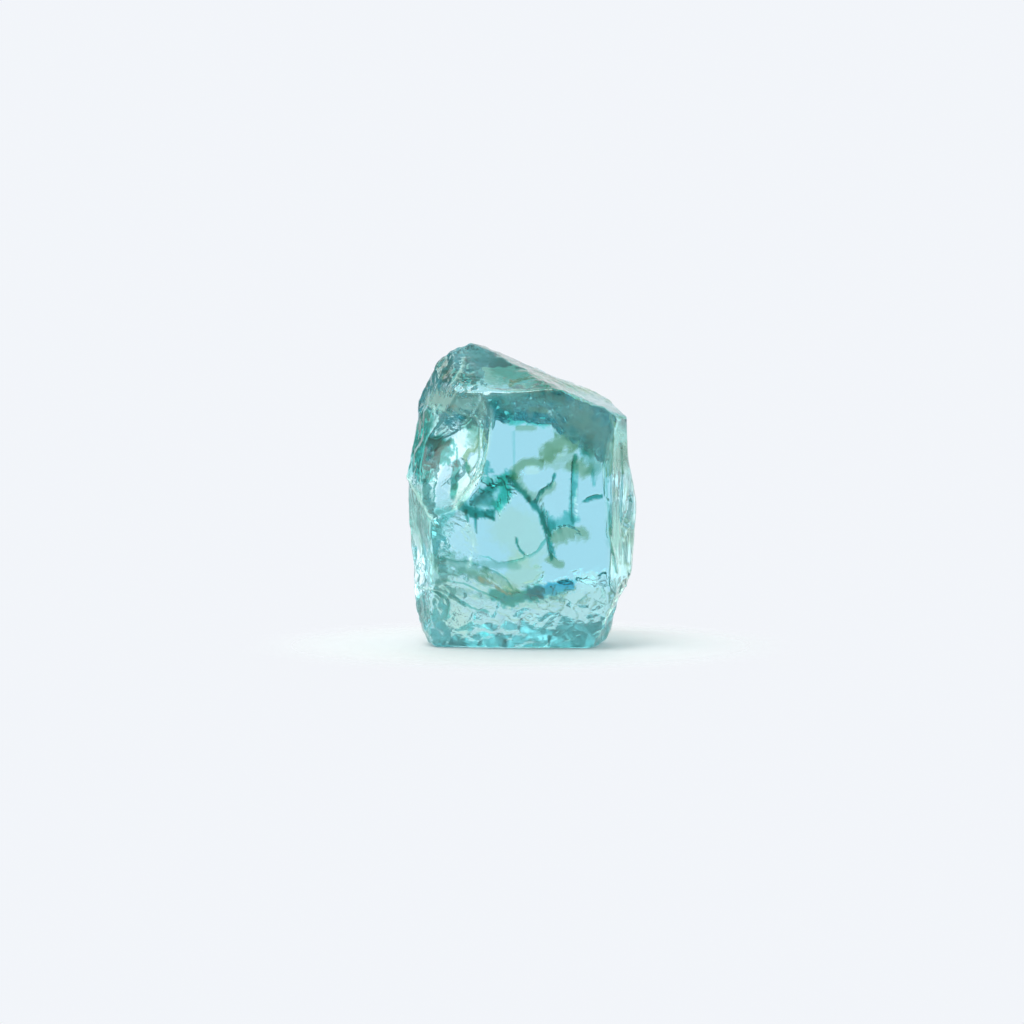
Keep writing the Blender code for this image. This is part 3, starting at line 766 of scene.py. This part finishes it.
def ledge_depth(points):
    """Depth of the back face's steps: each wall runs down over its width from a combed edge, and
    the ridges in a step run in from that edge."""
    total = np.zeros(len(points))
    wander = lumps("ledges", points)
    for depth, (foot, top), ragged, ridges, outline in LEDGES.values():
        low, high = min(z for _, z in outline), max(z for _, z in outline)
        wall = foot + (top - foot) * np.clip((points[:, 2] - low) / (high - low), 0, 1)
        distance, along, _ = path_distance(points[:, 0], points[:, 2], outline, True)
        teeth = TOOTH_REACH * ragged * combed(along, distance, LEDGE_TOOTH)
        edge = -(distance + ragged * wander + teeth)
        total += depth * np.clip(edge / wall, 0, 1)
        rise = np.clip(edge / RIDGE_RISE, 0, 1)
        total += ridges * rise * np.abs(combed(along, distance, RIDGE_WIDTH))
    return total


def side_views(points):
    """For the front and the back of the stone: each point's share of it, and its height there."""
    deep, height = points[:, 1], points[:, 2]
    in_front = np.clip((FRONT_MARKS_END - deep) / SIDE_FADE, 0, 1)
    behind = np.clip((deep - BACK_MARKS_START) / SIDE_FADE, 0, 1)
    return {"front": (in_front, height + SEEN_RISE * deep), "back": (behind, height)}


def crack_depth(points):
    """Depth of the grooves, less the height of the crests: V-shaped, beaded, and fading out at
    both ends. Also how near each point is to the top of a crest."""
    total = np.zeros(len(points))
    crest = np.zeros(len(points))
    views = side_views(points)
    for side, half, depth, path in CRACKS.values():
        on_side, height = views[side]
        distance, along, length = path_distance(points[:, 0], height, path, False)
        half = half * (1 + BEAD_SWELL * combed(along, distance, BEAD))
        fade = np.clip(np.minimum(along, length - along) / CRACK_FADE, CRACK_END, 1)
        share = on_side * fade * np.clip(1 - distance / half, 0, 1)
        total += depth * share
        if depth < 0:
            crest = np.maximum(crest, share)
    return total, crest


def streak_height(points, direction, width):
    """Noise drawn out along one direction, in cells that are as wide as the streaks."""
    along = np.array(direction) / np.linalg.norm(direction)
    side = np.cross(along, (0, 0, 1))
    side /= np.linalg.norm(side)
    axes = np.column_stack([along / STREAK_LENGTH, side, np.cross(along, side)])
    return rough_noise(points @ axes / width, 2)


def haze_and_shade_shares(points):
    """The colour that the veils of haze and painted shade leave of light at each point, as the product
    of every kind's colour to the power of its share, how frosted the point is, and how misted."""
    passed = np.zeros((len(points), 3))
    frost = np.zeros(len(points))
    mist = np.zeros(len(points))
    mottle = lumps("veils", points)
    views = side_views(points)
    for kind, side, half, soft, ragged, strength, path in HAZE_AND_SHADE_VEILS.values():
        on_side, height = views[side]
        distance, along, _ = path_distance(points[:, 0], height, path, False)
        if kind in COMBED_VEILS:
            strands = combed(along, distance, VEIL_TOOTH)
        else:
            strands = drawn_out(along, distance)
        frayed = ragged * (mottle + VEIL_FRAY * strands)
        fall = np.clip(1 - (distance - half) / soft + frayed, 0, 1)
        share = strength * on_side * fall * fall * (3 - 2 * fall)
        passed += share[:, None] * np.log(linear(HAZE_AND_SHADE_COLOURS[kind])[:3])
        if kind in FROSTY_VEILS:
            frost = np.maximum(frost, share)
        if kind == "mist":
            mist = np.maximum(mist, share)
    return np.exp(passed), frost, mist


def stain_share(points):
    """How rusty each point is: near a stain's path, where the mottle is strong."""
    total = np.zeros(len(points))
    mottle = lumps("stains", points)
    for half, path in STAINS.values():
        for start, end in zip(path, path[1:]):
            start, run = np.array(start), np.subtract(end, start)
            share = np.clip((points - start) @ run / (run @ run), 0, 1)
            reach = np.linalg.norm(points - start - share[:, None] * run, axis=1) / half
            total = np.maximum(total, np.clip(1.4 - 0.5 * reach + mottle, 0, 1) * (reach < STAIN_REACH))
    return total


def sunk(points, on, share, edge):
    """How far the carving of its surface sinks each point: the forms of its kind, the streaks, the
    ledges of the back, and nicks near an edge, which are deepest on broken faces."""
    carved = {form: lumps(form, points) for form in ("broad", "middle", "fine")}
    carved["rings"] = sum(ripples(points, origin, spacing) for origin, spacing in BLOWS)
    carved["plates"] = plates(points)
    carved["lines"] = growth_lines(points)
    depth = np.zeros(len(points))
    for kind, amounts in CARVING.items():
        depth += share[kind] * sum(carved[form] * amount for form, amount in amounts.items())
    for name, (direction, width, amount) in STREAKS.items():
        depth += on[name] * amount * streak_height(points, direction, width)
    depth += on["whole_back"] * ledge_depth(points)
    nicks = np.clip(NICK_DEPTH + NICK_SPREAD * lumps("nicks", points), 0, 1)
    broken = share["fracture"] + share["rough"] + GLASSY_NICKED * share["glassy"]
    return depth + edge * nicks * np.clip(NICKED + broken, 0, 1)


def finish_marks(points, on, share, crest):
    """What the finish reads at each point: the colour it lets through, with its haze and painted shade,
    and how frosted, white with bruises and painted highlights, rusty, grainy, streaked and lined it is."""
    dull, grey, white, grain = (
        sum(share[kind] * looks.get(look, 0) for kind, looks in FINISH.items())
        for look in ("dull", "grey", "white", "grain")
    )
    # The colour that the veils leave holds painted shade as well as haze, and the grey of broken faces.
    haze_and_painted_shade, frost, mist = haze_and_shade_shares(points)
    haze_and_painted_shade = haze_and_painted_shade * np.array(linear(GREY)[:3]) ** grey[:, None]
    dull = dull + BACK_FROST * on["whole_back"] + VEIL_FROST * frost + MIST_FROST * mist
    white = white + FROST_WHITE * frost * (1 - on["whole_back"]) + mist
    # Painted highlight: the crests and the window's bevel get white sheen, partly bruise on the crests.
    white += CREST_WHITE * (crest + on["ridge_bevel"])
    width, contrast, clear = WHITE_STRANDS
    strands = streak_height(points, STREAKS["top_front"][0], width)
    white += on["top_front"] * np.clip(contrast * strands - clear, 0, 1)
    return {
        "haze_and_painted_shade": np.column_stack([haze_and_painted_shade, np.ones(len(points))]),
        "frost": np.clip(dull, 0, 1),
        "white": np.clip(white, 0, 1),
        "rust": stain_share(points),
        "grain": np.clip(grain, 0, 1),
        "streaked": np.clip(sum(on[name] * part for name, part in STREAKED.items()), 0, 1),
        "upright": share["striated"],
    }


def relief(points):
    """How far each point of the plain stone sinks, and the marks that its finish reads. The base
    stays flat."""
    weight, edge = shares(points)
    share = kind_shares(weight)
    on = dict(zip(SURFACES, weight))
    on["whole_back"] = on["back"] + on["round_scar"]
    cracked, crest = crack_depth(points)
    depth = (sunk(points, on, share, edge) + cracked) * (1 - share["flat"])
    return depth, finish_marks(points, on, share, crest)


def box_grid():
    """Points on the six sides of the grid's box, and the quads between them, facing outwards."""
    points, quads, count = [], [], 0
    for axis in range(3):
        one, other = (axis + 1) % 3, (axis + 2) % 3
        steps = CELLS[one], CELLS[other]
        across = np.linspace(-HALF_BOX[one], HALF_BOX[one], steps[0] + 1)
        up = np.linspace(-HALF_BOX[other], HALF_BOX[other], steps[1] + 1)
        across, up = np.meshgrid(across, up, indexing="ij")
        for side in (-1, 1):
            panel = np.zeros((across.size, 3))
            panel[:, axis] = side * HALF_BOX[axis]
            panel[:, one] = across.ravel()
            panel[:, other] = up.ravel()
            start = np.arange(steps[0])[:, None] * (steps[1] + 1) + np.arange(steps[1])
            corners = np.stack([start, start + steps[1] + 1, start + steps[1] + 2, start + 1], -1)
            quads.append(corners.reshape(-1, 4)[:, ::side] + count)
            points.append(panel)
            count += len(panel)
    return np.vstack(points), np.vstack(quads)


def pushed_out(directions):
    """Where rays from the heart leave the plain stone, by halving, and how squarely they do."""
    near = np.full(len(directions), NEAREST)
    far = np.full(len(directions), FARTHEST)
    for _ in range(HALVINGS):
        middle = (near + far) / 2
        out = outside(HEART + directions * middle[:, None]) > 0
        far = np.where(out, middle, far)
        near = np.where(out, near, middle)
    points = HEART + directions * ((near + far) / 2)[:, None]
    rise = outside(points + directions * RAY_STEP) - outside(points - directions * RAY_STEP)
    return points, np.clip(rise / (2 * RAY_STEP), LEAST_SQUARENESS, None)


def mesh_object(name, points, faces, marks):
    """An object for these points in millimetres, its doubled seam points merged, with its marks
    kept as point attributes."""
    mesh = bpy.data.meshes.new(name)
    mesh.from_pydata((points * MM).tolist(), [], faces.tolist())
    for mark, values in marks.items():
        if values.ndim == 1:
            mesh.attributes.new(mark, "FLOAT", "POINT").data.foreach_set("value", values)
        else:
            kept = mesh.attributes.new(mark, "FLOAT_COLOR", "POINT").data
            kept.foreach_set("color", values.ravel())
    block = bmesh.new()
    block.from_mesh(mesh)
    bmesh.ops.remove_doubles(block, verts=block.verts, dist=SEAM_GAP * MM)
    block.to_mesh(mesh)
    block.free()
    mesh.shade_smooth()
    made = bpy.data.objects.new(name, mesh)
    bpy.context.scene.collection.objects.link(made)
    return made


def seat_shift(points):
    """The shift that puts the stone's footprint over the middle of the solid's."""
    low, high = (np.array(corner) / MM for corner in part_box(NODE))
    shift = (low + high - points.min(axis=0) - points.max(axis=0)) / 2
    shift[2] = low[2] - points[:, 2].min()
    return shift


def make_crystal():
    """The stone's surface, seated on the solid's footprint."""
    grid, quads = box_grid()
    directions = grid + BOX_MIDDLE - HEART
    directions /= np.linalg.norm(directions, axis=1)[:, None]
    plain, squareness = pushed_out(directions)
    depth, marks = relief(plain)
    points = plain - directions * (depth / squareness)[:, None]
    return mesh_object("crystal", points + seat_shift(points), quads, marks)


def linear(code):
    """An sRGB hex colour as linear red, green and blue, with alpha 1."""
    parts = [int(code[start:start + 2], 16) / 255 for start in (0, 2, 4)]
    return [part / 12.92 if part < 0.04045 else ((part + 0.055) / 1.055) ** 2.4 for part in parts] + [1]


def node(tree, kind, settings=(), **links):
    """A new node with these settings, each a property or an input, and these inputs linked. Of
    several inputs with one name it takes the one in use."""
    made = tree.nodes.new(kind)

    def entry(name):
        if isinstance(name, int):
            return made.inputs[name]
        return next(socket for socket in made.inputs if socket.name == name and socket.enabled)

    for name, value in dict(settings).items():
        if isinstance(name, str) and hasattr(made, name):
            setattr(made, name, value)
        else:
            entry(name).default_value = value
    for name, source in links.items():
        tree.links.new(source, entry(name.replace("_", " ")))
    return made


# Apatite bends light by this much, and it is almost as smooth as cut glass where nothing frosts it.
REFRACTION = 1.635
POLISHED = 0.015
FROSTED = 0.45
# What a metre of the stone takes out of red, green and blue light, and the density that its colour
# is worked out for.
ABSORBED_PER_METRE = (105.0, 25.0, 15.0)
ABSORB_DENSITY = 115.0
# The powdery white of a bruised crest, also the colour of the painted highlight on the crests and
# the window's bevel, and the brown of a stain.
POWDER = "C6ECE4"
POWDER_ROUGHNESS = 0.9
RUST = "8A6A3A"

# The finest relief, under the mesh's own: the mark that says where it lies, the size of its bumps
# along X, Y and Z, how far they are turned about Y in degrees, and their height.
FINE_RELIEF = (
    ("grain", (0.26, 0.26, 0.26), 0, 0.020),
    ("streaked", (2.4, 0.7, 0.13), 22, 0.016),
    ("upright", (0.20, 0.20, 3.5), 0, 0.007),
)


def fine_relief(tree):
    """The normal of the fine grain, the slanting streaks and the upright growth lines together."""
    place = node(tree, "ShaderNodeTexCoord").outputs["Object"]
    normal = None
    for mark, size, turn, height in FINE_RELIEF:
        where = node(tree, "ShaderNodeAttribute", {"attribute_name": mark})
        turned = node(tree, "ShaderNodeMapping", {
            "vector_type": "TEXTURE", "Scale": [length * MM for length in size],
            "Rotation": (0, math.radians(turn), 0),
        }, Vector=place)
        bumps = node(tree, "ShaderNodeTexNoise", {"Scale": 1.0, "Detail": 3.0}, Vector=turned.outputs[0])
        raised = node(tree, "ShaderNodeMath", {"operation": "MULTIPLY"})
        tree.links.new(bumps.outputs["Fac"], raised.inputs[0])
        tree.links.new(where.outputs["Fac"], raised.inputs[1])
        bump = node(tree, "ShaderNodeBump", {"Distance": 2 * height * MM}, Height=raised.outputs[0])
        if normal:
            tree.links.new(normal, bump.inputs["Normal"])
        normal = bump.outputs["Normal"]
    return normal


def apatite():
    """Fluorapatite, grown as a prism and broken: clear glass to the eye, with a sea-blue body colour
    that deepens with the distance light goes through it, frost where it broke, olive and teal veils of
    haze and painted shade on its inner cracks and faces, crests bruised to a powdery white that is
    partly a painted highlight, a painted white highlight on the window's bevel, and rust in a few
    hollows."""
    made = bpy.data.materials.new("sea-blue fluorapatite")
    made.use_nodes = True
    tree = made.node_tree
    shader = tree.nodes["Principled BSDF"]
    shader.inputs["IOR"].default_value = REFRACTION
    shader.inputs["Transmission Weight"].default_value = 1.0
    shader.inputs["Sheen Roughness"].default_value = POWDER_ROUGHNESS
    shader.inputs["Sheen Tint"].default_value = linear(POWDER)
    # The stone's colour carries the veils' haze and painted shade, stained with rust.
    haze_and_painted_shade, frost, rust, white = (
        node(tree, "ShaderNodeAttribute", {"attribute_name": mark})
        for mark in ("haze_and_painted_shade", "frost", "rust", "white")
    )
    # The white sheen: bruise powder, and a painted highlight on the crests and the window's bevel.
    tree.links.new(white.outputs["Fac"], shader.inputs["Sheen Weight"])
    stained = node(tree, "ShaderNodeMix", {
        "data_type": "RGBA", "B": linear(RUST),
    }, Factor=rust.outputs["Fac"], A=haze_and_painted_shade.outputs["Color"])
    tree.links.new(stained.outputs["Result"], shader.inputs["Base Color"])
    rough = node(tree, "ShaderNodeMath", {"operation": "MULTIPLY_ADD", 1: FROSTED, 2: POLISHED})
    tree.links.new(frost.outputs["Fac"], rough.inputs[0])
    tree.links.new(rough.outputs[0], shader.inputs["Roughness"])
    tree.links.new(fine_relief(tree), shader.inputs["Normal"])
    body = node(tree, "ShaderNodeVolumeAbsorption", {
        "Density": ABSORB_DENSITY,
        "Color": [1 - loss / ABSORB_DENSITY for loss in ABSORBED_PER_METRE] + [1],
    })
    tree.links.new(body.outputs[0], tree.nodes["Material Output"].inputs["Volume"])
    return made


# The floor's radius, and how far from its middle it starts to fade and is gone.
FLOOR_RADIUS = 400
FLOOR_FADE = (6, 14)


def make_floor():
    """A pale round floor that fades out into the backdrop."""
    bpy.ops.mesh.primitive_circle_add(vertices=64, radius=FLOOR_RADIUS * MM, fill_type="NGON")
    floor = bpy.context.object
    floor.name = "floor"
    paper = bpy.data.materials.new("matt white paper")
    paper.use_nodes = True
    tree = paper.node_tree
    shader = tree.nodes["Principled BSDF"]
    shader.inputs["Base Color"].default_value = linear("DDE1E6")
    shader.inputs["Roughness"].default_value = 0.6
    shader.inputs["Emission Color"].default_value = linear("EEF2FF")
    shader.inputs["Emission Strength"].default_value = 0.06
    place = node(tree, "ShaderNodeTexCoord").outputs["Object"]
    reach = node(tree, "ShaderNodeVectorMath", {"operation": "LENGTH"}, Vector=place)
    fade = node(tree, "ShaderNodeMapRange", {
        "interpolation_type": "SMOOTHSTEP", "From Min": FLOOR_FADE[0] * MM,
        "From Max": FLOOR_FADE[1] * MM, "To Min": 1.0, "To Max": 0.0,
    }, Value=reach.outputs["Value"])
    tree.links.new(fade.outputs[0], shader.inputs["Alpha"])
    floor.data.materials.append(paper)


# The backdrop that the camera sees, the room's own light, and the soft lights in it: each one's
# direction, the cosines where it starts and where it is full, and its colour. A later one lies over
# those before it.
BACKDROP = (0.89, 0.915, 0.955, 1)
ROOM = (0.72, 0.80, 0.70, 1)
LIGHTS = {
    "table": ((0.0, 0.0, -1.0), 0.45, 0.85, (0.46, 0.59, 0.46, 1)),
    "backlight": ((0.30, 0.95, 0.05), 0.40, 0.88, (0.92, 0.95, 1.05, 1)),
    "top_panel": ((-0.17, -0.48, 0.86), 0.955, 0.98, (7.4, 7.3, 7.2, 1)),
    "left_panel": ((-0.82, -0.33, 0.42), 0.92, 0.97, (2.8, 2.75, 2.7, 1)),
    "right_panel": ((0.97, 0.24, 0.0), 0.975, 0.992, (3.0, 3.0, 3.0, 1)),
    "far_left_panel": ((-0.76, 0.48, 0.45), 0.96, 0.985, (2.8, 2.7, 2.4, 1)),
    "left_shade": ((-0.63, 0.76, 0.20), 0.968, 0.983, (0.12, 0.24, 0.24, 1)),
    "side_shade": ((-0.46, 0.88, -0.11), 0.988, 0.996, (0.40, 0.5, 0.5, 1)),
    "viewer": ((0.0, -1.0, 0.06), 0.93, 0.985, (0.33, 0.38, 0.36, 1)),
    "left_back": ((-0.74, 0.67, -0.12), 0.975, 0.988, (1.35, 1.3, 1.3, 1)),
    "upper_back": ((0.10, 0.90, 0.42), 0.93, 0.98, (1.12, 1.08, 1.08, 1)),
    "right_back": ((0.62, 0.74, -0.25), 0.91, 0.955, (1.6, 1.32, 1.34, 1)),
}


def make_studio():
    """Soft light all round: bright behind the stone, dim on the viewer's side and under it, with
    panels overhead, on the left and on the right, and shade where its left side mirrors the room."""
    world = bpy.data.worlds.new("studio")
    bpy.context.scene.world = world
    world.use_nodes = True
    tree = world.node_tree
    tree.nodes.clear()
    direction = node(tree, "ShaderNodeTexCoord").outputs["Generated"]
    room = node(tree, "ShaderNodeRGB")
    room.outputs[0].default_value = ROOM
    shine = room.outputs[0]
    for aim, start, full, colour in LIGHTS.values():
        towards = node(tree, "ShaderNodeVectorMath", {
            "operation": "DOT_PRODUCT", 1: Vector(aim).normalized(),
        })
        tree.links.new(direction, towards.inputs[0])
        share = node(tree, "ShaderNodeMapRange", {
            "interpolation_type": "SMOOTHSTEP", "From Min": start, "From Max": full,
        }, Value=towards.outputs["Value"])
        lit = node(tree, "ShaderNodeMix", {
            "data_type": "RGBA", "B": colour,
        }, Factor=share.outputs[0], A=shine)
        shine = lit.outputs["Result"]
    light = node(tree, "ShaderNodeBackground", Color=shine)
    backdrop = node(tree, "ShaderNodeBackground", {"Color": BACKDROP})
    seen = node(tree, "ShaderNodeLightPath").outputs["Is Camera Ray"]
    both = node(tree, "ShaderNodeMixShader")
    tree.links.new(seen, both.inputs[0])
    tree.links.new(light.outputs[0], both.inputs[1])
    tree.links.new(backdrop.outputs[0], both.inputs[2])
    output = node(tree, "ShaderNodeOutputWorld")
    tree.links.new(both.outputs[0], output.inputs["Surface"])


# The camera: how far it looks down in degrees, its distance, the point it looks at, the width of a
# pixel at that point, and how many the picture has.
CAMERA_TILT = 4
CAMERA_DISTANCE = 250.0
CAMERA_AIM = (-0.42, 0.065, 6.45)
PIXEL = 0.0485
PICTURE = 1024
# Enough for light to go in and out of the stone many times.
LIGHT_BOUNCES = 24


def make_camera():
    """A long lens far in front of the stone, whose angle makes a pixel as wide as said above."""
    tilt = math.radians(CAMERA_TILT)
    camera = bpy.data.objects.new("camera", bpy.data.cameras.new("camera"))
    bpy.context.scene.collection.objects.link(camera)
    back_off = Vector((0, -math.cos(tilt), math.sin(tilt))) * CAMERA_DISTANCE
    camera.location = (Vector(CAMERA_AIM) + back_off) * MM
    camera.rotation_euler = (math.radians(90) - tilt, 0, 0)
    camera.data.lens = camera.data.sensor_width * CAMERA_DISTANCE / (PICTURE * PIXEL)
    camera.data.clip_start = 0.001
    camera.data.clip_end = 5
    bpy.context.scene.camera = camera


crystal = make_crystal()
crystal.data.materials.append(apatite())
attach(crystal, "root")
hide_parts(NODE)

make_floor()
make_studio()
make_camera()
scene = bpy.context.scene
scene.view_settings.view_transform = "Standard"
scene.cycles.max_bounces = LIGHT_BOUNCES
scene.cycles.transmission_bounces = LIGHT_BOUNCES
